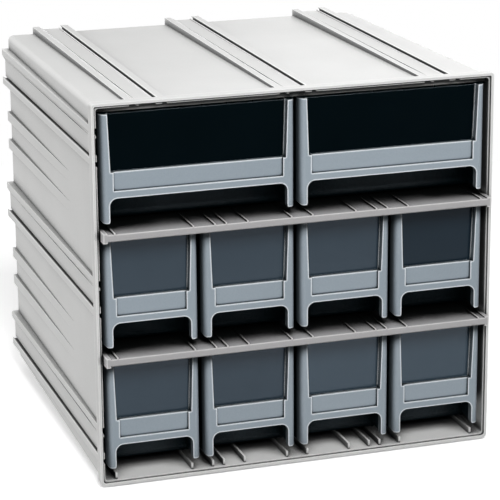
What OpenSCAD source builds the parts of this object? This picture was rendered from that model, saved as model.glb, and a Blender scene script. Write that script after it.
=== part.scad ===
// Parts bin cabinet: a moulded interlocking housing, two slide-in shelves,
// two wide and eight narrow drawers, each with its own window insert.
// X is to the right, Y to the back and Z up; the origin is in the middle of
// the three base tongues that the cabinet stands on.

/* [Housing] */
// Width of the front rim
housing_w = 298.5; // [285:0.5:320]
// Height of the front rim
housing_h = 279.4; // [270:0.1:310]
// Depth from the front rim to the back
housing_d = 284; // [240:1:320]
// Thickness of the drafted walls
wall = 1.8; // [1.5:0.1:2.2]
// Thickness of the closed back
back_t = 2; // [1.5:0.1:3]
// Depth of the stiff band round the front
band_d = 8; // [6:0.5:12]
// Width of the rim's face, seen from the front
rim_face = 3.5; // [3:0.1:4]
// Width of the outer strip of the rim's face
rim_strip = 2; // [1.5:0.1:2.5]
// Depth of the step from the outer strip to the inner lip
rim_step = 1.2; // [0.6:0.1:2]
// How far the walls stand in from the rim at the back, from the draft
draft_back = 5; // [4.5:0.1:6]
// Rounding of the long outer edges
edge_r = 4; // [2:0.5:5]
// Rounding of the edges round the back
back_r = 3; // [1:0.5:4]
// Rounding of the rim's two lower corners
rim_r_low = 3.3; // [1.5:0.1:4]
// Rounding of the rim's two upper corners
rim_r_top = 2; // [1.5:0.1:4]
// How far the bead under the rim's top reaches down from the rim's top
bead_drop = 7; // [5:0.5:8]
// Place of the bead behind the front
bead_y = 6; // [4:0.5:10]
// Thickness of the bead
bead_t = 3; // [2:0.5:5]

/* [Interlock] */
// Distance between the interlock pairs
pair_pitch = 109; // [104:0.5:112]
// Sideways offset of the pairs on the top and the base
pair_off_x = 2; // [-4:0.5:4]
// Upward offset of the pairs on the two sides
pair_off_z = -1.5; // [-4:0.5:4]
// Width of the flat tip of the first rail
tip_w = 4.8; // [4:0.1:6]
// Width of the slope from that tip down to the platform between the rails
slope_w = 4.3; // [3.5:0.1:5]
// Width of the flat tip of the second rail, with its lip
tip_2_w = 5.5; // [5:0.1:6.5]
// Width of a pair from the first rail's face to the second rail's undercut
pair_w = 23.7; // [22:0.1:26]
// Width of the undercut slot beside the second rail
slot_w = 1.5; // [1:0.1:2]
// How far the slot's bottom lies below the platform at the rim
slot_drop = 0.8; // [0.4:0.1:1]
// Overhang of the second rail's lip over the slot
lip_w = 1; // [0.6:0.1:1.2]
// Thickness of that lip
lip_t = 0.7; // [0.5:0.1:0.9]
// How far the platform between the rails lies below the rim at the back
platform_back = 2.4; // [2:0.1:3]
// How far each tongue stands out beyond the rim
tongue_h = 1.5; // [1.4:0.1:1.6]
// Running clearance round a tongue in the next cabinet's rails
tongue_gap = 0.3; // [0.2:0.1:0.4]
// Skin left over the hollow inside each rail
core_skin = 1.9; // [1.5:0.1:2.3]
// Skin left beside that hollow
core_side = 1.6; // [1.2:0.1:2]
// How deep the hollow under each platform notches the rim
core_notch = 0.7; // [0.3:0.1:0.9]

/* [Rows] */
// Height of the tops of the floor's guide ribs above the rim's lower edge
runner_h = 8.2; // [7.5:0.1:11]
// Thickness of the guide ribs on the floor
floor_rib_t = 1.5; // [1:0.1:2]
// Distance of each guide rib from the boundary of its cell
rib_off = 7.9; // [6:0.1:10]
// Distance of the floor ribs' front ends behind the rim
rib_front = 3; // [1:0.5:10]
// Clearance over the drawers under a shelf
head_gap = 2.8; // [1.5:0.1:4]
// Clearance between the top row's drawers and the bead
bead_gap = 1.3; // [0.8:0.1:3]
// Free width between the rim and the outermost cell
cell_margin = 0.95; // [0.5:0.05:2]

/* [Shelves] */
// Thickness of a shelf
shelf_t = 5.4; // [4.5:0.1:7]
// Thickness of a shelf's deck
deck_t = 2.2; // [1.6:0.1:3]
// How far the shelves stand out in front of the rim
shelf_proud = 9; // [4:0.5:14]
// Width of the full-height bars along a shelf's front and back
shelf_bar_w = 4; // [2:0.5:8]
// Width of the full-height rails along a shelf's ends
shelf_rail_w = 7; // [4:0.5:12]
// Thickness of the two webs under a shelf's deck
shelf_web_t = 2; // [1.2:0.1:3]
// Rounding of a shelf's lower front edge
shelf_r = 1.2; // [0.4:0.1:2]
// Height of the guide ribs on the shelves
shelf_rib_h = 1; // [0.8:0.1:2]
// Thickness of the guide ribs on the shelves
shelf_rib_t = 1.2; // [0.8:0.1:2]
// Width of the raised strips at a shelf's ends
strip_w = 3; // [2:0.1:3.4]
// Height of those strips above and below the shelf
strip_h = 0.8; // [0.4:0.1:1]
// Length of those strips from the shelf's front edge
strip_l = 55; // [30:1:80]
// Clearance behind a shelf
shelf_back_gap = 1.5; // [0.5:0.1:3]
// Clearance of a shelf's edge in the bottom of its groove
groove_gap = 0.3; // [0.1:0.05:0.5]
// Clearance over a shelf's edge in its groove
groove_play = 0.5; // [0.2:0.1:1]
// Depth of the groove beyond the rim's inner edge
groove_deep = 0.45; // [0.35:0.05:0.8]
// Wall left outside a shelf groove
groove_wall = 1.35; // [1:0.05:1.6]
// Bevel along the lower edge of the bulge that a groove makes outside
bulge_bevel = 1; // [0.5:0.1:1.3]

/* [Drawers] */
// Gap between the faces of two neighbouring drawers
face_gap = 2.6; // [1.5:0.1:4]
// How far the faces lie behind the rim
face_set = 1; // [0:0.5:5]
// Clearance between a drawer and the ribs it runs on
run_clear = 0.25; // [0.2:0.05:0.4]
// Clearance between a drawer's back and the housing's back
stop_gap = 0.5; // [0.3:0.1:1]
// Clearance between a drawer's side and the wall at the back
side_clear = 0.65; // [0.4:0.05:1]
// Width of a stile at the foot of the window
stile_w = 7.3; // [6:0.1:9]
// How much narrower a stile is at its top
stile_flare = 1.3; // [0:0.1:2]
// Depth of the stiles from front to back
stile_d = 5.5; // [4.5:0.1:7]
// Rounding of the outer front edges
stile_r = 3.3; // [1:0.1:4]
// Height of the ends of the legs
leg_z = 4; // [2:0.5:8]
// Rounding of the ends of the legs
leg_r = 2; // [1:0.1:3]
// Height of the top of the finger arch
arch_z = 22; // [18:0.5:26]
// Rounding of the arch's corners
arch_r = 3.6; // [2:0.1:6]
// Height of the ledge under the label plate
ledge_z = 28.3; // [27:0.1:32]
// Height of the label plate's top
label_top = 42.3; // [38:0.1:48]
// How far the label plate lies behind the face
label_set = 1.75; // [1:0.05:2.5]
// Thickness of the label plate
label_t = 2.2; // [1.5:0.1:3]
// Width of the small ledge at each side of the label plate
label_side = 2.2; // [1:0.1:4]

/* [Tubs] */
// Depth of the finger recess behind the face
recess_d = 25; // [18:0.5:30]
// Thickness of a tub's walls
tub_wall = 1.6; // [1.2:0.1:2.2]
// Thickness of a tub's bottom
tub_floor = 1.8; // [1.2:0.1:2.5]
// Height of a tub's side walls
tub_side_h = 76; // [60:0.5:77]
// How much a tub's back stands above its sides
tub_back_rise = 4; // [0:0.5:4.5]
// Depth over which the sides keep the back's height behind the window
tub_cheek_d = 8; // [2:0.5:20]
// Rounding of a tub's lower edges
tub_r = 3; // [1:0.5:5]
// Rounding where the tub's front turns into its bottom
scoop_r = 6; // [3:0.5:10]
// Width of the guide beads under a tub
guide_w = 1.2; // [0.8:0.1:2]
// How far a guide bead reaches down beside its rib
guide_h = 0.8; // [0.4:0.1:0.9]
// Distance from the guide beads' ends to the tub's back
guide_end = 4; // [2:0.5:20]
// Number of divider places in a drawer
divider_places = 3; // [1:1:6]
// Thickness of the dividers that the places take
divider_t = 1.6; // [1:0.1:2]
// Clearance on each side of a divider
divider_gap = 0.5; // [0.2:0.1:0.8]
// Width and depth of the small ribs that hold a divider
divider_rib = 1; // [0.6:0.1:1.5]
// Distance from the tops of those ribs to the tops of the sides
divider_low = 6; // [2:0.5:20]

/* [Windows] */
// Thickness of a window
window_t = 1.5; // [1:0.1:2]
// Clearance at each edge of a window
window_gap = 0.3; // [0.1:0.05:0.5]
// Clearance in front of and behind a window
window_play = 0.1; // [0.05:0.05:0.2]
// How far a window reaches down behind the label plate
window_lap = 2.3; // [1.5:0.1:4]
// How far a window's top lies below the tops of the stiles
window_low = 0.8; // [0:0.1:2]
// Rounding of a window's corners
window_r = 0.8; // [0.4:0.1:2]
// How far the bead at a stile's back reaches over the window's edge
front_bead_w = 0.9; // [0.4:0.1:1.4]
// Thickness of that bead
front_bead_t = 1.1; // [0.6:0.1:2]
// Width of the upright beads behind the window's edges
back_bead_w = 1.2; // [0.6:0.1:2]
// Thickness of those beads
back_bead_t = 1.5; // [1:0.1:2.5]
// Height of the lip behind the foot of the window, and of the seat under it
seat_h = 2; // [1.2:0.1:3]

/* [Hidden] */

$fn = 48;
hull_fn = 32;
eps = 0.01;           // overlap that joins two shapes
past = 1;             // how far a cutter reaches past what it cuts
thin = 0.02;          // thickness of the slabs that a hull is drawn over
deep = 9;             // how far the interlock shapes start below the rim plane

housing_color = [0.86, 0.86, 0.85];
shelf_color = [0.62, 0.62, 0.61];
drawer_color = [0.60, 0.65, 0.69];
window_color = [0.23, 0.27, 0.30];
dark_window_color = [0.03, 0.06, 0.08];

rim_z = tongue_h;                       // the rim's lower edge
front_y = -housing_d / 2;               // the rim's front plane
back_y = housing_d / 2;
inner_back_y = back_y - back_t;
draft_front = rim_face - wall;          // where the outer walls meet the rim
bead_z = rim_z + housing_h - bead_drop;

// Interlock: places across one pair, from the first rail's outer face
rail_1_end = tip_w + slope_w;
platform_end = pair_w - slot_w;
rail_2_start = pair_w - lip_w;
rail_2_end = rail_2_start + tip_2_w;
rail_start = -(rail_2_end + draft_back) / 2;
core_1_in = core_skin * tan(atan2(platform_back, slope_w) / 2);
core_2_in = core_skin * tan(45 / 2);

// Rows: three drawer heights, two shelves and their clearances fill the rim
rows = 3;
shelf_stack = shelf_t + shelf_rib_h;
face_h = (housing_h - bead_drop - bead_gap - runner_h
          - (rows - 1) * (shelf_stack + head_gap)) / rows;
row_pitch = face_h + head_gap + shelf_stack;
stack_h = rows * row_pitch;
groove_h = shelf_t + groove_play;
bulge_set = rim_face + groove_deep - groove_wall;
groove_shares = [1 / 4, 1 / 3, 2 / 3, 3 / 4];

// Cells: four narrow drawers or two wide ones fill the rim from side to side
cells_across = 4;
cell_w = (housing_w - 2 * (rim_face + cell_margin)) / cells_across;
third_w = cells_across * cell_w / 3;
rib_places = [
  for (side = [-1, 1])
    for (at = [rib_off, 2 * cell_w - rib_off,
               third_w / 2 - rib_off, third_w / 2 + rib_off,
               cell_w - rib_off, cell_w + rib_off])
      side * at
];
shelf_half = housing_w / 2 - rim_face - groove_deep - groove_gap;
shelf_d = shelf_proud + housing_d - back_t - shelf_back_gap;

face_y = front_y + face_set;
tub_l = housing_d - back_t - stop_gap - face_set;
tub_inset = draft_back + wall + side_clear
            - rim_face - cell_margin - face_gap / 2;
window_back = stile_d + 2 * window_play + window_t;
window_foot = label_top - window_lap;

function draft_at(y) = draft_front + (draft_back - draft_front) * y / housing_d;
function run_z(row) = rim_z + runner_h + row * row_pitch;
function face_w(cells) = cells * cell_w - face_gap;
function cell_x(cells, i) = (i + 0.5) * cells * cell_w - cells_across * cell_w / 2;
function groove_z(share) = rim_z + runner_h + share * stack_h - shelf_stack;
function pair_at(i) = i * pair_pitch;
function divider_y(i) = recess_d + (tub_l - recess_d) * i / (divider_places + 1);

// Draws a flat XZ outline and gives it depth along +Y from y = 0
module along_y(depth) {
  translate([0, depth, 0]) rotate([90, 0, 0]) linear_extrude(depth) children();
}

// Draws a flat YZ outline and gives it width along X, centred on x = 0
module along_x(width) {
  translate([-width / 2, 0, 0]) rotate([90, 0, 90]) linear_extrude(width) children();
}

// A square corner less its quarter round, to be cut off a corner at the
// origin whose material lies towards +x, +y
module corner_cut(r) {
  difference() {
    translate([-eps, -eps]) square(r + eps);
    translate([r, r]) circle(r);
  }
}

// Rectangle centred on x = 0 and standing on y = 0, with rounded corners
module plate(w, h, r_low, r_top) {
  difference() {
    translate([-w / 2, 0]) square([w, h]);
    for (side = [0, 1]) mirror([side, 0]) {
      translate([-w / 2, 0]) corner_cut(r_low);
      translate([-w / 2, h]) mirror([0, 1]) corner_cut(r_top);
    }
  }
}

// ---- Housing ----

// The rim's outline drawn in by inset all round
module rim_outline(inset, r_low, r_top) {
  translate([0, rim_z + inset])
    plate(housing_w - 2 * inset, housing_h - 2 * inset, r_low, r_top);
}

// A thin slab of the drafted shell's section, as a child of a hull
module shell_slab(y, inset, r) {
  translate([0, y, 0]) along_y(thin) rim_outline(inset, r, r, $fn = hull_fn);
}

module shell_outside() {
  hull() {
    shell_slab(front_y + band_d - thin, draft_at(band_d), edge_r);
    for (a = [0:30:90])
      shell_slab(back_y - thin - back_r * (1 - sin(a)),
                 draft_at(housing_d - back_r) + back_r * (1 - cos(a)), edge_r);
  }
}

module shell_inside() {
  hull() {
    shell_slab(front_y - past, rim_face, edge_r - wall);
    shell_slab(inner_back_y - thin, draft_back + wall, edge_r - wall);
  }
}

// One interlock pair: x across it from the first rail's outer face, z
// outwards from the rim plane. The second rail overhangs its slot.
module rail_pair() {
  translate([0, front_y + band_d - eps, 0]) along_y(housing_d - band_d + eps) {
    polygon([[0, -deep], [0, 0], [tip_w, 0],
             [rail_1_end, -platform_back], [rail_1_end, -deep]]);
    polygon([[pair_w, -deep], [pair_w, -lip_t], [rail_2_start, -lip_t],
             [rail_2_start, 0], [rail_2_end, 0],
             [rail_2_end + draft_back, -draft_back],
             [rail_2_end + draft_back, -deep]]);
  }
  translate([(rail_1_end + platform_end) / 2, 0, 0])
    along_x(platform_end - rail_1_end + 2 * eps)
      polygon([[front_y + band_d - eps, -draft_at(band_d)], [back_y, -platform_back],
               [back_y, -deep], [front_y + band_d - eps, -deep]]);
}

// Hollows inside a pair, open to the inside of the housing
module rail_cores() {
  core_1_end = rail_1_end - core_1_in;
  core_2_end = rail_2_end - core_2_in;
  flat_end = platform_end - core_side;
  translate([0, front_y + rim_step - eps, 0])
    along_y(housing_d - rim_step - back_t + eps) {
      polygon([[core_side, -2 * deep], [core_side, -core_skin],
               [tip_w - core_1_in, -core_skin],
               [core_1_end, -platform_back - core_skin], [core_1_end, -2 * deep]]);
      polygon([[pair_w + core_side, -2 * deep], [pair_w + core_side, -core_skin],
               [core_2_end, -core_skin],
               [core_2_end + draft_back, -core_skin - draft_back],
               [core_2_end + draft_back, -2 * deep]]);
    }
  translate([(core_1_end + flat_end) / 2, 0, 0])
    along_x(flat_end - core_1_end + eps)
      polygon([[front_y + rim_step - eps, core_notch - rim_face],
               [inner_back_y, -platform_back - wall],
               [inner_back_y, -2 * deep], [front_y + rim_step - eps, -2 * deep]]);
}

// The narrow slot that the next cabinet's tongue hooks into
module rail_slot() {
  bottom = -draft_at(band_d) - slot_drop;
  translate([platform_end, front_y + band_d, 0]) along_y(housing_d)
    translate([0, bottom]) square([slot_w, -lip_t - bottom]);
}

// The tongue that slides between the rails of the next cabinet: a slope
// along the first rail's and a hook under the second rail's lip
module tongue() {
  foot = tip_w + tongue_gap;
  neck = rail_2_start - tongue_gap;
  hook = pair_w - tongue_gap;
  translate([0, front_y + band_d - eps, 0]) along_y(housing_d - band_d - wall)
    polygon([[foot, -deep], [foot, 0],
             [foot + slope_w * tongue_h / platform_back, tongue_h],
             [hook, tongue_h], [hook, lip_t + tongue_gap],
             [neck, lip_t + tongue_gap], [neck, -deep]]);
}

// Places a pair's section on the top, the base, the left or the right
module on_top() {
  for (i = [-1:1])
    translate([pair_at(i) + pair_off_x + rail_start, 0, rim_z + housing_h]) children();
}

module on_base() {
  for (i = [-1:1])
    translate([pair_at(i) + pair_off_x + rail_start, 0, rim_z]) mirror([0, 0, 1])
      children();
}

module on_left() {
  for (i = [-1:1])
    translate([-housing_w / 2, 0, rim_z + housing_h / 2 + pair_off_z + pair_at(i) - rail_start])
      rotate([0, -90, 0]) mirror([1, 0, 0]) children();
}

module on_right() {
  for (i = [-1:1])
    translate([housing_w / 2, 0, rim_z + housing_h / 2 + pair_off_z + pair_at(i) - rail_start])
      rotate([0, 90, 0]) children();
}

// A long bulge outside each side wall, behind a shelf groove
module groove_bulge(z) {
  root = housing_w / 2 - deep;
  face = housing_w / 2 - bulge_set;
  top = z + groove_h + groove_wall;
  for (side = [0, 1]) mirror([side, 0, 0])
    translate([0, front_y + band_d, 0]) along_y(housing_d - band_d - back_t / 2)
      polygon([[root, z - groove_wall], [face - bulge_bevel, z - groove_wall],
               [face, z - groove_wall + bulge_bevel], [face, top], [root, top]]);
}

module shelf_groove(z) {
  half = housing_w / 2 - rim_face - groove_deep;
  translate([-half, front_y + band_d, z])
    cube([2 * half, housing_d - band_d - back_t, groove_h]);
}

// Guide ribs on the floor, level on top and as deep as the drafted floor
module floor_ribs() {
  y_0 = front_y + rib_front;
  for (x = rib_places)
    translate([x, 0, 0]) along_x(floor_rib_t)
      polygon([[y_0, run_z(0)], [y_0, rim_z + rim_face - wall / 2],
               [inner_back_y + eps, rim_z + draft_back + wall / 2],
               [inner_back_y + eps, run_z(0)]]);
}

// Bead under the top of the rim, close over the top row's drawers
module top_bead() {
  in = rim_face - wall / 2;
  translate([0, front_y + bead_y, 0]) along_y(bead_t)
    translate([in - housing_w / 2, bead_z]) square([housing_w - 2 * in, bead_drop - in]);
}

module housing() {
  color(housing_color) {
    difference() {
      union() {
        translate([0, front_y, 0]) along_y(band_d) rim_outline(0, rim_r_low, rim_r_top);
        shell_outside();
        on_top() rail_pair();
        on_left() rail_pair();
        on_base() tongue();
        on_right() tongue();
        for (share = groove_shares) groove_bulge(groove_z(share));
      }
      shell_inside();
      translate([0, front_y - eps, 0]) along_y(rim_step + eps)
        rim_outline(rim_strip, rim_r_low - rim_strip / 2, rim_r_top - rim_strip / 2);
      on_top() rail_slot();
      on_left() rail_slot();
      on_top() rail_cores();
      on_left() rail_cores();
      for (share = groove_shares) shelf_groove(groove_z(share));
    }
    floor_ribs();
    top_bead();
  }
}

// ---- Shelves ----

// Section of the bar along a shelf's front: y to the back, z up
module shelf_nose() {
  difference() {
    square([shelf_bar_w, shelf_t]);
    corner_cut(shelf_r);
  }
}

// One shelf, its underside at z = 0 and its place along Y as in the housing
module shelf() {
  color(shelf_color) translate([0, front_y - shelf_proud, 0]) {
    translate([-shelf_half, shelf_bar_w - eps, shelf_t - deck_t])
      cube([2 * shelf_half, shelf_d - shelf_bar_w + eps, deck_t]);
    along_x(2 * shelf_half) shelf_nose();
    translate([-shelf_half, shelf_d - shelf_bar_w, 0])
      cube([2 * shelf_half, shelf_bar_w, shelf_t]);
    for (side = [0, 1]) mirror([side, 0, 0]) {
      translate([shelf_half - shelf_rail_w, shelf_bar_w - eps, 0])
        cube([shelf_rail_w, shelf_d - shelf_bar_w + eps, shelf_t]);
      translate([shelf_half - strip_w, 0, -strip_h])
        cube([strip_w, strip_l, shelf_t + 2 * strip_h]);
      translate([(third_w - shelf_web_t) / 2, shelf_bar_w - eps, 0])
        cube([shelf_web_t, shelf_d - shelf_bar_w + eps, shelf_t]);
    }
    for (x = rib_places)
      translate([x - shelf_rib_t / 2, 0, shelf_t - eps])
        cube([shelf_rib_t, shelf_d, shelf_rib_h + eps]);
  }
}

module shelf_upper() { translate([0, 0, groove_z(2 / 3)]) shelf(); }
module shelf_lower() { translate([0, 0, groove_z(1 / 3)]) shelf(); }

// ---- Drawers ----

// Outline of the face: stiles, legs and the ledge between them
module face_outline(w) {
  arch_w = w - 2 * stile_w;
  difference() {
    translate([-w / 2, leg_z]) square([w, face_h - leg_z]);
    translate([0, leg_z - past]) plate(arch_w, arch_z - leg_z + past, eps, arch_r);
    for (side = [0, 1]) mirror([side, 0]) {
      translate([-w / 2, leg_z]) corner_cut(leg_r);
      translate([-arch_w / 2, leg_z]) mirror([1, 0]) corner_cut(leg_r);
    }
  }
}

// Window opening between the flared stiles, drawn in by inset at each side
module window_opening(w, inset) {
  foot = w / 2 - stile_w - inset;
  head = foot + stile_flare;
  sill = label_top - eps;
  top = face_h + past;
  polygon([[-foot, sill], [foot, sill], [head, top], [-head, top]]);
}

module drawer_face(w) {
  between = w - 2 * stile_w;
  label_w = between - 2 * label_side;
  difference() {
    intersection() {
      along_y(stile_d + eps) face_outline(w);
      linear_extrude(face_h + past) plate(w, stile_d + eps, stile_r, eps);
    }
    translate([0, -eps, 0]) along_y(stile_d - front_bead_t + eps) window_opening(w, 0);
    translate([0, -eps, 0]) along_y(stile_d + past) window_opening(w, front_bead_w);
    translate([0, -eps, 0]) along_y(label_set + eps)
      translate([-label_w / 2, ledge_z]) square([label_w, label_top - ledge_z]);
    translate([0, label_set + label_t, 0]) along_y(stile_d)
      translate([-between / 2, arch_z + tub_floor])
        square([between, label_top - arch_z - tub_floor]);
  }
}

// Tub behind the face, open at the top, with the finger recess under its front
module tub(w) {
  half = w / 2 - tub_inset;
  inner = half - tub_wall;
  back_h = tub_side_h + tub_back_rise;
  front_in = window_back + seat_h;
  cheek_y = front_in + tub_cheek_d;
  difference() {
    translate([0, stile_d, 0]) along_y(tub_l - stile_d)
      plate(2 * half, back_h, tub_r, eps);
    // inside, over the bottom and over the finger recess
    along_x(2 * inner) {
      difference() {
        translate([recess_d + tub_wall, tub_floor])
          square([tub_l - recess_d - 2 * tub_wall, back_h]);
        translate([recess_d + tub_wall, tub_floor]) corner_cut(scoop_r - tub_wall);
      }
      translate([front_in, arch_z + tub_floor])
        square([tub_l - front_in - tub_wall, back_h]);
      translate([stile_d - past, window_foot])
        square([front_in - stile_d + past + eps, back_h]);
      translate([stile_d - past, arch_z + tub_floor])
        square([front_in - stile_d + past + eps, window_foot - seat_h - arch_z - tub_floor]);
    }
    // finger recess, the legs' height and the turn into the bottom
    along_x(2 * inner) {
      translate([stile_d - past, -past]) square([recess_d - stile_d + past, arch_z + past]);
      translate([recess_d, 0]) corner_cut(scoop_r);
    }
    along_x(2 * w) {
      translate([stile_d - past, -past]) square([recess_d - stile_d + past, leg_z + past]);
      translate([recess_d, 0]) corner_cut(leg_z);
      // side walls lower than the back and the cheeks
      translate([cheek_y, tub_side_h]) square([tub_l - cheek_y - tub_wall, back_h]);
    }
  }
  // lip behind the foot of the window
  along_x(2 * inner + 2 * eps) translate([window_back, window_foot - eps])
    square([seat_h, seat_h + eps]);
  for (side = [0, 1]) mirror([side, 0, 0]) {
    // upright bead behind the window's edge
    translate([inner - back_bead_w, window_back, window_foot])
      cube([back_bead_w + eps, back_bead_t, tub_side_h - window_foot]);
    // guide bead that keeps to the outside of the carrier's rib
    translate([w / 2 + face_gap / 2 - rib_off + floor_rib_t / 2 + run_clear,
               recess_d + scoop_r, -guide_h])
      cube([guide_w, tub_l - recess_d - scoop_r - guide_end, guide_h + tub_floor / 2]);
    // places for cross dividers
    for (i = [1:divider_places], edge = [-1, 1])
      translate([inner - divider_rib,
                 divider_y(i) + edge * (divider_t / 2 + divider_gap) - divider_rib / 2,
                 tub_floor - eps])
        cube([divider_rib + eps, divider_rib, tub_side_h - tub_floor - divider_low]);
  }
}

module drawer(cells, row, i) {
  w = face_w(cells);
  color(drawer_color) translate([cell_x(cells, i), face_y, run_z(row) + run_clear]) {
    drawer_face(w);
    tub(w);
  }
}

// ---- Windows ----

module window(cells, row, i, tint) {
  pane_w = face_w(cells) - 2 * (tub_inset + tub_wall + window_gap);
  pane_h = face_h - window_low - window_foot;
  color(tint)
    translate([cell_x(cells, i), face_y + stile_d + window_play,
               run_z(row) + run_clear + window_foot])
      along_y(window_t) plate(pane_w, pane_h, window_r, window_r);
}

housing();
shelf_upper();
shelf_lower();
drawer(2, 2, 0);  // drawer_wide_left
drawer(2, 2, 1);  // drawer_wide_right
drawer(1, 1, 0);  // drawer_mid_1
drawer(1, 1, 1);  // drawer_mid_2
drawer(1, 1, 2);  // drawer_mid_3
drawer(1, 1, 3);  // drawer_mid_4
drawer(1, 0, 0);  // drawer_low_1
drawer(1, 0, 1);  // drawer_low_2
drawer(1, 0, 2);  // drawer_low_3
drawer(1, 0, 3);  // drawer_low_4
window(2, 2, 0, dark_window_color);  // window_wide_left
window(2, 2, 1, dark_window_color);  // window_wide_right
window(1, 1, 0, window_color);  // window_mid_1
window(1, 1, 1, window_color);  // window_mid_2
window(1, 1, 2, window_color);  // window_mid_3
window(1, 1, 3, window_color);  // window_mid_4
window(1, 0, 0, window_color);  // window_low_1
window(1, 0, 1, window_color);  // window_low_2
window(1, 0, 2, window_color);  // window_low_3
window(1, 0, 3, window_color);  // window_low_4
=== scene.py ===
import math
import bmesh
import bpy
from mathutils import Matrix, Vector


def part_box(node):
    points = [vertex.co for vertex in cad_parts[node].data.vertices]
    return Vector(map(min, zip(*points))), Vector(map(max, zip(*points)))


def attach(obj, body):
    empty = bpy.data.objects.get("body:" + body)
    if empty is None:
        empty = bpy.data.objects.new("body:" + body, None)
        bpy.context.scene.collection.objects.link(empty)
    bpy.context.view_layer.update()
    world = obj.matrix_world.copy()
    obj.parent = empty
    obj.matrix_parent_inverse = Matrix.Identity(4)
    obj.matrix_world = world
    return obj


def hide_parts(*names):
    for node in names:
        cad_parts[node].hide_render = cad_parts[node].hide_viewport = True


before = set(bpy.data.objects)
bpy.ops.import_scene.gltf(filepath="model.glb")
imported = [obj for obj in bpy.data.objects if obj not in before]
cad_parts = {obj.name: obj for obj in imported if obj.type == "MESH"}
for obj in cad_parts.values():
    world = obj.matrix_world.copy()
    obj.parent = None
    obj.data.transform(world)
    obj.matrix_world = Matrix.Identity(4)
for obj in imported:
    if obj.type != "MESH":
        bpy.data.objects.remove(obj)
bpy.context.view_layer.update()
print("cabinet loaded,", len(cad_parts), "pieces")


white = (1, 1, 1, 1)


def hexToLinear(colour):
    parts = [int(colour[i:i + 2], 16) / 255 for i in (1, 3, 5)]
    return tuple(p / 12.92 if p < 0.04045 else ((p + 0.055) / 1.055) ** 2.4 for p in parts) + (1.0,)


# settings go to sockets or to the node's own fields, links to sockets by name or number
def addNode(tree, kind, settings=None, links=None):
    node = tree.nodes.new(kind)
    for name, value in (settings or {}).items():
        if isinstance(name, str) and name[0].islower():
            setattr(node, name, value)
        else:
            node.inputs[name].default_value = value
    for name, source in (links or {}).items():
        tree.links.new(source, node.inputs[name])
    return node


def combine(tree, operation, one, other=None):
    links = {0: one} if other is None else {0: one, 1: other}
    return addNode(tree, "ShaderNodeMath", {"operation": operation}, links).outputs[0]


# least where value has the first number of the span and amount where it has the second
def maskOver(tree, value, span, amount=1.0, least=0.0):
    return addNode(tree, "ShaderNodeMapRange",
                   {"From Min": span[0], "From Max": span[1], "To Min": least, "To Max": amount},
                   {"Value": value}).outputs[0]


def emptyTree(owner):
    owner.use_nodes = True
    owner.node_tree.nodes.clear()
    return owner.node_tree


def addObject(name, data):
    made = bpy.data.objects.new(name, data)
    bpy.context.scene.collection.objects.link(made)
    return made


cameraView = {
    "place": (-0.526, -1.646, 0.634),  # metres
    "yaw": 18.04,  # degrees to the right of straight on
    "pitch": -16.46,
    "roll": -0.47,
    "lens": 167.8,  # mm, for a sensor this wide
    "sensor": 36,
    "reach": (0.05, 50),  # metres, the nearest and the farthest that it sees
}


def placeCamera(view):
    data = bpy.data.cameras.new("cabinetCamera")
    data.lens = view["lens"]
    data.sensor_width = view["sensor"]
    data.clip_start, data.clip_end = view["reach"]
    camera = addObject("cabinetCamera", data)
    turn = (Matrix.Rotation(math.radians(-view["yaw"]), 4, "Z")
            @ Matrix.Rotation(math.radians(90 + view["pitch"]), 4, "X")
            @ Matrix.Rotation(math.radians(view["roll"]), 4, "Z"))
    camera.matrix_world = Matrix.Translation(view["place"]) @ turn
    bpy.context.scene.camera = camera


placeCamera(cameraView)
print("camera placed")


studio = {
    "floorHalf": 5.0,
    "floorGlow": 0.35,  # lifts the lit floor to white for the camera and leaves the shadow
    "shadowReach": (0.55, 0.8),  # metres from the middle, where the shadow fades out
    "floorBounce": "#5A5A59",  # what the floor throws back on the cabinet
    "ambient": 0.06,
}

# turn is the compass angle from straight in front towards the right, lift the height angle,
# away and size in metres; at level 1 a surface that faces the lamp shows its colour as written
softboxes = {
    "keySoftbox": {"turn": -4, "lift": 41, "away": 2.2, "size": 0.9, "level": 1.0},
    "leftSoftbox": {"turn": -108, "lift": 20, "away": 2.2, "size": 1.2, "level": 0.66},
    "rightSoftbox": {"turn": 104, "lift": 0, "away": 2.3, "size": 0.25, "level": 0.26},
    "rearSoftbox": {"turn": 148, "lift": 18, "away": 2.4, "size": 1.2, "level": 0.29},
}
lampAim = (0, 0, 0.14)


# 1 for the rays that show the floor and the room to the eye, 0 for those that carry their light
def shownRays(tree):
    path = addNode(tree, "ShaderNodeLightPath").outputs
    seen = combine(tree, "MAXIMUM", path["Is Camera Ray"], path["Is Glossy Ray"])
    return combine(tree, "MAXIMUM", seen, path["Is Transmission Ray"])


def mixShaders(tree, mask, first, second):
    links = {0: mask, 1: first.outputs[0], 2: second.outputs[0]}
    return addNode(tree, "ShaderNodeMixShader", {}, links)


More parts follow.
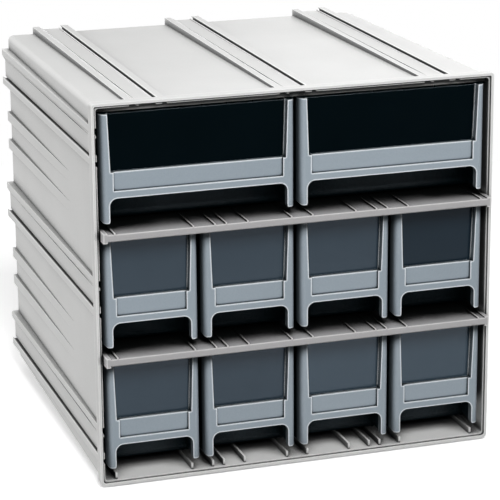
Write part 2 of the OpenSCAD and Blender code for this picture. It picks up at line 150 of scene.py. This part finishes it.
def layFloor(look):
    half = look["floorHalf"]
    mesh = bpy.data.meshes.new("studioFloor")
    mesh.from_pydata([(-half, -half, 0), (half, -half, 0), (half, half, 0), (-half, half, 0)],
                     [], [(0, 1, 2, 3)])
    floor = addObject("studioFloor", mesh)
    material = bpy.data.materials.new("matt paper floor")
    tree = emptyTree(material)
    point = addNode(tree, "ShaderNodeTexCoord").outputs["Object"]
    away = addNode(tree, "ShaderNodeVectorMath", {"operation": "LENGTH"}, {0: point})
    fade = maskOver(tree, away.outputs["Value"], look["shadowReach"])
    lit = addNode(tree, "ShaderNodeBsdfDiffuse", {"Color": white})
    glow = addNode(tree, "ShaderNodeEmission", {"Strength": look["floorGlow"]})
    paper = addNode(tree, "ShaderNodeAddShader", {}, {0: lit.outputs[0], 1: glow.outputs[0]})
    backdrop = addNode(tree, "ShaderNodeEmission", {"Strength": 1.0})
    shown = mixShaders(tree, fade, paper, backdrop)
    bounce = addNode(tree, "ShaderNodeBsdfDiffuse", {"Color": hexToLinear(look["floorBounce"])})
    seen = mixShaders(tree, shownRays(tree), bounce, shown)
    addNode(tree, "ShaderNodeOutputMaterial", {}, {"Surface": seen.outputs[0]})
    mesh.materials.append(material)


def lightRoom(look):
    world = bpy.data.worlds.new("studioRoom")
    tree = emptyTree(world)
    ambient = addNode(tree, "ShaderNodeBackground", {"Color": white, "Strength": look["ambient"]})
    backdrop = addNode(tree, "ShaderNodeBackground", {"Color": white, "Strength": 1.0})
    room = mixShaders(tree, shownRays(tree), ambient, backdrop)
    addNode(tree, "ShaderNodeOutputWorld", {}, {"Surface": room.outputs[0]})
    bpy.context.scene.world = world


def hangSoftbox(name, lamp):
    turn, lift = math.radians(lamp["turn"]), math.radians(lamp["lift"])
    toLamp = Vector((math.sin(turn) * math.cos(lift), -math.cos(turn) * math.cos(lift),
                     math.sin(lift)))
    data = bpy.data.lights.new(name, "AREA")
    data.shape = "SQUARE"
    data.size = lamp["size"]
    data.energy = lamp["level"] * (math.pi * lamp["away"]) ** 2
    light = addObject(name, data)
    light.location = Vector(lampAim) + toLamp * lamp["away"]
    light.rotation_euler = (-toLamp).to_track_quat("-Z", "Y").to_euler()


layFloor(studio)
lightRoom(studio)
for lampName, lamp in softboxes.items():
    hangSoftbox(lampName, lamp)
bpy.context.scene.view_settings.view_transform = "Standard"
print("floor and lamps set")


# what all the mouldings share; each span gives no mask at its first number and all at its second
moulding = {
    "driftSpan": (0.2, 1.6),  # of the flow marks and the shot's own share, added up
    "speckleSpan": (0.3, 0.7),  # of the grain
    "edgeSpan": (0.95, 0.7),  # of the openness inside the plastic
    "uprightSpan": (0.95, 0.6),  # of the normal's Z
    "sidewaysSpan": (0.3, 0.9),  # of the normal's X
    "forwardSpan": (-0.7, -0.95),  # of the normal's Y
    "grainHeight": 0.0002,  # metres
    "shineSpread": 0.05,  # how far the roughness goes either way with the flow marks
    "roundSamples": 4,
}
polystyreneIor = 1.59
nearSamples = 6  # for edges and creases
gapSamples = 8


def mixColours(tree, mask, first, second):
    return addNode(tree, "ShaderNodeMix",
                   {"data_type": "RGBA", 6: hexToLinear(first), 7: hexToLinear(second)},
                   {0: mask}).outputs[2]


def tintWith(tree, under, mask, colour):
    return addNode(tree, "ShaderNodeMix", {"data_type": "RGBA", 7: hexToLinear(colour)},
                   {0: mask, 6: under}).outputs[2]


def noiseOf(tree, point, sizeMm, detail, rough):
    return addNode(tree, "ShaderNodeTexNoise",
                   {"Scale": 1000 / sizeMm, "Detail": detail, "Roughness": rough},
                   {"Vector": point}).outputs["Fac"]


# 1 on an open face, towards 0 in a crease or gap that closes within reachMm; inside finds thin
# edges, and alone leaves the other pieces and the floor out
def openness(tree, reachMm, samples=nearSamples, inside=False, alone=False):
    return addNode(tree, "ShaderNodeAmbientOcclusion",
                   {"samples": samples, "inside": inside, "only_local": alone,
                    "Distance": reachMm / 1000}).outputs["AO"]


def mouldedTone(tree, look, flow, grain):
    shot = addNode(tree, "ShaderNodeObjectInfo").outputs["Random"]  # no two mouldings match quite
    drift = maskOver(tree, combine(tree, "ADD", flow, shot), moulding["driftSpan"])
    tone = mixColours(tree, drift, look["colour"], look["flowColour"])
    speckle = maskOver(tree, grain, moulding["speckleSpan"], look["speckle"])
    tone = tintWith(tree, tone, speckle, look["speckleColour"])
    # painted highlight: edges that are thin inside the plastic are lightened
    thin = openness(tree, look["edgeMm"], inside=True)
    edge = maskOver(tree, thin, moulding["edgeSpan"], look["paintedEdgeHighlight"])
    return tintWith(tree, tone, edge, look["paintedHighlightColour"])


# painted shade in the creases, on the upright faces only; the level faces get none
def creaseMask(tree, look, facing):
    creaseOpen = openness(tree, look["creaseMm"], alone="footMm" in look)
    crease = maskOver(tree, creaseOpen, look["creaseSpan"], look["crease"])
    level = combine(tree, "ABSOLUTE", facing["Z"])
    return combine(tree, "MULTIPLY", crease, maskOver(tree, level, moulding["uprightSpan"]))


# painted shade: gaps and recesses that close within gapMm are darkened towards the shade colour
def gapMask(tree, look, place, facing):
    gapOpen = openness(tree, look["gapMm"], gapSamples)
    if "footMm" in look:  # near its foot only the piece closes its gaps, not what it stands on
        foot = maskOver(tree, place["Z"], (look["footMm"] / 1000, look["footMm"] / 2000))
        upright = maskOver(tree, facing["Z"], moulding["uprightSpan"])
        alone = openness(tree, look["gapMm"], gapSamples, alone=True)
        gapOpen = addNode(tree, "ShaderNodeMix", {},
                          {0: combine(tree, "MULTIPLY", foot, upright),
                           2: gapOpen, 3: alone}).outputs[0]
    gap = maskOver(tree, gapOpen, look["gapSpan"], look["gap"])
    if "flankGap" in look:  # the painted shade is weaker along the flanks near the front, where light from the front gets in
        across = combine(tree, "ABSOLUTE", facing["X"])
        ends = [y / 1000 for y in look["flankReach"]]
        flank = combine(tree, "MULTIPLY", maskOver(tree, across, moulding["sidewaysSpan"]),
                        maskOver(tree, place["Y"], ends, amount=0.0, least=1.0))
        kept = maskOver(tree, flank, (0.0, 1.0), amount=look["flankGap"], least=1.0)
        gap = combine(tree, "MULTIPLY", gap, kept)
    if "stepSpan" in look:  # painted shade on the steps behind the rim, which face the front and lie in its shade
        shade = combine(tree, "MULTIPLY", maskOver(tree, gapOpen, look["stepSpan"]),
                        maskOver(tree, facing["Y"], moulding["forwardSpan"]))
        gap = combine(tree, "MAXIMUM", gap, shade)
    return gap


# moulded in a spark-eroded tool: a fine even grain that breaks up the shine and tool-rounded edges;
# a painted highlight lightens the edges, and painted shade darkens the creases and gaps
def mouldedPlastic(name, look):
    material = bpy.data.materials.new(name)
    tree = emptyTree(material)
    point = addNode(tree, "ShaderNodeTexCoord").outputs["Object"]
    normal = addNode(tree, "ShaderNodeNewGeometry").outputs["Normal"]
    place = addNode(tree, "ShaderNodeSeparateXYZ", {}, {0: point}).outputs
    facing = addNode(tree, "ShaderNodeSeparateXYZ", {}, {0: normal}).outputs
    flow = noiseOf(tree, point, look["flowMm"], detail=3, rough=0.55)
    grain = noiseOf(tree, point, look["grainMm"], detail=2, rough=0.6)
    tone = mouldedTone(tree, look, flow, grain)
    tone = tintWith(tree, tone, creaseMask(tree, look, facing), look["creaseShadeColour"])
    tone = tintWith(tree, tone, gapMask(tree, look, place, facing), look["gapShadeColour"])
    shine = maskOver(tree, flow, (0.0, 1.0), amount=look["roughness"] + moulding["shineSpread"],
                     least=look["roughness"] - moulding["shineSpread"])
    rounded = addNode(tree, "ShaderNodeBevel",
                      {"samples": moulding["roundSamples"],
                       "Radius": look["roundMm"] / 1000}).outputs[0]
    bump = addNode(tree, "ShaderNodeBump",
                   {"Strength": look["grainDepth"], "Distance": moulding["grainHeight"]},
                   {"Height": grain, "Normal": rounded}).outputs[0]
    skin = addNode(tree, "ShaderNodeBsdfPrincipled",
                   {"IOR": polystyreneIor, "Specular IOR Level": look["gloss"],
                    "Specular Tint": hexToLinear(look["glossTint"])},
                   {"Base Color": tone, "Roughness": shine, "Normal": bump})
    addNode(tree, "ShaderNodeOutputMaterial", {}, {"Surface": skin.outputs[0]})
    return material


# the start of each look; the grain, 0.1 mm on the real mouldings, is drawn about 1 mm wide to
# show at all
# the edge entries paint a highlight, the crease and gap entries paint shade
mouldedLook = {
    "grainMm": 1.0, "grainDepth": 0.15, "speckle": 0.1, "roundMm": 0.35, "edgeMm": 1.1,
    "crease": 0.95, "gap": 1.0, "gloss": 0.12, "glossTint": "#FFFFFF",
}
housingLook = {
    **mouldedLook,
    "colour": "#D8D8D7", "flowColour": "#D1D1D0", "flowMm": 45,
    "grainMm": 1.2, "speckle": 0.06, "speckleColour": "#8F9090",
    "paintedEdgeHighlight": 0.8, "paintedHighlightColour": "#F0F0EF",
    "creaseMm": 10, "creaseSpan": (0.94, 0.58), "crease": 0.85, "creaseShadeColour": "#3A3C3D",
    "gapMm": 24, "gapSpan": (0.72, 0.34), "gap": 0.94, "gapShadeColour": "#020405",
    "footMm": 40,  # under half this height only the housing closes its gaps, over it all do
    "stepSpan": (0.9, 0.55),  # of the openness, as the other spans of a look
    "roughness": 0.5,
}
shelfLook = {
    **mouldedLook,
    "colour": "#B5B4B5", "flowColour": "#ADACAD", "flowMm": 40, "speckleColour": "#6E6D6E",
    "paintedEdgeHighlight": 0.9, "paintedHighlightColour": "#E2E1E0",
    "creaseMm": 2.2, "creaseSpan": (0.88, 0.5), "creaseShadeColour": "#050505",
    "gapMm": 40, "gapSpan": (0.7, 0.4), "gapShadeColour": "#030404",
    "roughness": 0.48,
}
drawerLook = {
    **mouldedLook,
    "colour": "#A2ADB6", "flowColour": "#9AA5AE", "flowMm": 35,
    "grainDepth": 0.12, "speckleColour": "#5F6A73",
    "edgeMm": 1.2, "paintedEdgeHighlight": 1.0, "paintedHighlightColour": "#EEF3F7",
    "creaseMm": 1.8, "creaseSpan": (0.85, 0.5), "creaseShadeColour": "#080E11",
    "gapMm": 45, "gapSpan": (0.78, 0.34), "gapShadeColour": "#010C10",
    "flankGap": 0.68,  # what the flanks keep of the painted gap shade near the front
    "flankReach": (-134.0, -131.0),  # mm from the middle of the cabinet, where that ends
    "roughness": 0.55, "gloss": 0.08, "glossTint": "#BFD8E8",
}


# extruded and cut: level, glossy and nearly opaque with its smoke tint; a painted highlight
# lightens its cut edges
def smokedSheet(name, look):
    material = bpy.data.materials.new(name)
    tree = emptyTree(material)
    point = addNode(tree, "ShaderNodeTexCoord").outputs["Object"]
    haze = noiseOf(tree, point, look["hazeMm"], detail=4, rough=0.5)
    tone = mixColours(tree, haze, look["colour"], look["hazeColour"])
    # painted highlight along the cut edges
    thin = openness(tree, look["edgeMm"], inside=True)
    edge = maskOver(tree, thin, look["edgeSpan"], look["paintedEdgeShine"])
    tone = tintWith(tree, tone, edge, look["paintedHighlightColour"])
    skin = addNode(tree, "ShaderNodeBsdfPrincipled",
                   {"IOR": polystyreneIor, "Specular IOR Level": look["gloss"],
                    "Specular Tint": hexToLinear(look["glossTint"]),
                    "Roughness": look["roughness"]},
                   {"Base Color": tone})
    addNode(tree, "ShaderNodeOutputMaterial", {}, {"Surface": skin.outputs[0]})
    return material


windowLook = {
    "colour": "#222E37", "hazeColour": "#2A363F", "hazeMm": 40, "roughness": 0.2,
    "gloss": 0.37, "glossTint": "#D6E6F8",
    "edgeMm": 0.7, "edgeSpan": (0.6, 0.3), "paintedEdgeShine": 1.0, "paintedHighlightColour": "#B9C9D4",
}
deepWindowLook = {**windowLook, "colour": "#121E26", "hazeColour": "#18242D", "gloss": 0.18}
# a lighter copy of the sheet as painted reflection, for the drawers where it reflects more light
reflectionLitWindowLook = {**windowLook, "colour": "#2A3740", "hazeColour": "#323F49", "gloss": 0.44}
darkWindowLook = {**windowLook, "colour": "#02090C", "hazeColour": "#050E12", "gloss": 0.01}

housingPlastic = mouldedPlastic("high-impact polystyrene moulded light grey", housingLook)
shelfPlastic = mouldedPlastic("high-impact polystyrene moulded mid grey", shelfLook)
drawerPlastic = mouldedPlastic("high-impact polystyrene moulded blue grey", drawerLook)
smokedSheets = {  # by the drawers they sit in, the first that fits
    "wide": smokedSheet("dark smoked polystyrene sheet", darkWindowLook),
    "mid_4": smokedSheet("deep smoked polystyrene sheet", deepWindowLook),
    "low_3": smokedSheet("smoked polystyrene sheet with painted reflection", reflectionLitWindowLook),
    "low_4": smokedSheet("smoked polystyrene sheet with painted reflection", reflectionLitWindowLook),
    "": smokedSheet("smoked polystyrene sheet", windowLook),
}


def dress(node, material):
    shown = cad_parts[node]
    shown.data.materials.clear()
    shown.data.materials.append(material)


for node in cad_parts:
    if node.startswith("shelf"):
        dress(node, shelfPlastic)
    elif node.startswith("drawer"):
        dress(node, drawerPlastic)
    elif node.startswith("window"):
        dress(node, next(sheet for where, sheet in smokedSheets.items() if where in node))
    else:
        dress(node, housingPlastic)
print("plastics on")


# how the moulded fronts differ from their solids, in mm: slimmer stiles and legs, a rounder
# arch, a label plate that sits a little lower, and deeper flanks; heights go from under the tub,
# and in each pair the first number is the solid's and the second the moulded front's
drawerFront = {
    "depth": 5.52,  # of the front itself; the tub behind it stays
    "underBead": 0.8,  # the guide beads reach this far below the tub
    "side": 0.7,  # how far the sides of the front stand in from the solid's
    "flank": (3.31, 4.5),  # how far in the rounding of those sides ends
    "rounding": (3.31, 5.2),  # how deep it goes
    "backInset": 2.1,  # points of the front's back this near to the side
    "backDepth": 10.0,  # go this deep
    "leg": (7.3, 6.3),  # how far in the legs end
    "legEnd": 6.1,  # the height where they meet the arch
    "arch": (22.0, 21.6),  # height of its top
    "archSlack": 0.1,  # points this far over that still belong to it
    "archRound": (3.6, 5.5),  # radius of its corners
    "ledge": (28.3, 26.9),  # height under the label plate
    "ledgeReach": 3.0,  # points this near to it move with it
    "sill": (42.3, 40.2),  # height under the window
    "sillReach": 5.0,
    "stileFoot": (7.3, 7.2),  # width at the sill
    "stileTop": (6.0, 5.8),  # width at the top
    "top": 81.5,
}


# inset from the side and height over the foot of one point of the front, moved to their place
def movePoint(inset, height, front):
    flankWas, flank = front["flank"]
    if inset < flankWas:
        return front["side"] + inset * (flank - front["side"]) / flankWas, height
    legWas, leg = front["leg"]
    if height < front["legEnd"]:
        return flank + (inset - flankWas) * (leg - flank) / (legWas - flankWas), height
    archWas, arch = front["arch"]
    grow = front["archRound"][1] / front["archRound"][0]
    if height < archWas + front["archSlack"]:
        return leg + (inset - legWas) * grow, arch - (archWas - height) * grow
    footSlim = front["stileFoot"][0] - front["stileFoot"][1]
    topSlim = front["stileTop"][0] - front["stileTop"][1]
    rise = max(0, (height - front["sill"][0]) / (front["top"] - front["sill"][0]))
    inset -= footSlim + (topSlim - footSlim) * rise
    for edge in ("ledge", "sill"):
        edgeWas, edgeNow = front[edge]
        if abs(height - edgeWas) < front[edge + "Reach"]:
            height += edgeNow - edgeWas
            break
    return inset, height


def mouldDrawer(node, front):
    low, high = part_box(node)
    middle, half = (low[0] + high[0]) / 2, (high[0] - low[0]) / 2
    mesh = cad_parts[node].data.copy()
    for vertex in mesh.vertices:
        side = 1 if vertex.co.x > middle else -1
        inset = (half - abs(vertex.co.x - middle)) * 1000
        height = (vertex.co.z - low[2]) * 1000 - front["underBead"]
        depth = (vertex.co.y - low[1]) * 1000
        if depth > front["depth"]:
            continue
        if inset < front["flank"][0] and depth < front["rounding"][0]:
            depth *= front["rounding"][1] / front["rounding"][0]
        elif inset < front["backInset"]:
            depth = front["backDepth"]
        vertex.co.y = low[1] + depth / 1000
        inset, height = movePoint(inset, height, front)
        vertex.co.x = middle + side * (half - inset / 1000)
        vertex.co.z = low[2] + (height + front["underBead"]) / 1000
    mesh.update()
    place = node.removeprefix("drawer_")
    piece = addObject("mouldedDrawer_" + place, mesh)
    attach(piece, place + "_bin")
    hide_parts(node)


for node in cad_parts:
    if node.startswith("drawer"):
        mouldDrawer(node, drawerFront)
print("drawers moulded")


# the thin bead left standing beside each undercut slot on the top, in mm
slotBead = {
    "places": (-107.0, 2.0, 111.0),  # middles of the rail pairs
    "side": 5.0,  # from there to the middle of the bead
    "width": 1.2,
    "front": (-134.0, 279.36),  # y and height of its ends
    "back": (141.9, 279.36),
    "deep": 1.4,
    "round": 0.3,
}


def mouldSlotBead(number, middle, bead):
    mesh = bpy.data.meshes.new("slotBead")
    shape = bmesh.new()
    x = (middle + bead["side"]) / 1000
    half = bead["width"] / 2000
    soft = bead["round"] / 1000
    rings = []
    for end in (bead["front"], bead["back"]):
        y, top = end[0] / 1000, end[1] / 1000
        foot = top - bead["deep"] / 1000
        section = [(-half, foot), (half, foot), (half, top - soft), (half - soft, top),
                   (soft - half, top), (-half, top - soft)]
        rings.append([shape.verts.new((x + across, y, z)) for across, z in section])
    front, back = rings
    for i in range(len(front)):
        after = (i + 1) % len(front)
        shape.faces.new((front[i], front[after], back[after], back[i]))
    shape.faces.new(front[::-1])
    shape.faces.new(back)
    bmesh.ops.recalc_face_normals(shape, faces=shape.faces)
    shape.to_mesh(mesh)
    shape.free()
    mesh.materials.append(housingPlastic)
    piece = addObject("slotBead_" + str(number), mesh)
    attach(piece, "cabinet")


for number, middle in enumerate(slotBead["places"], 1):
    mouldSlotBead(number, middle, slotBead)
print("slot beads on")
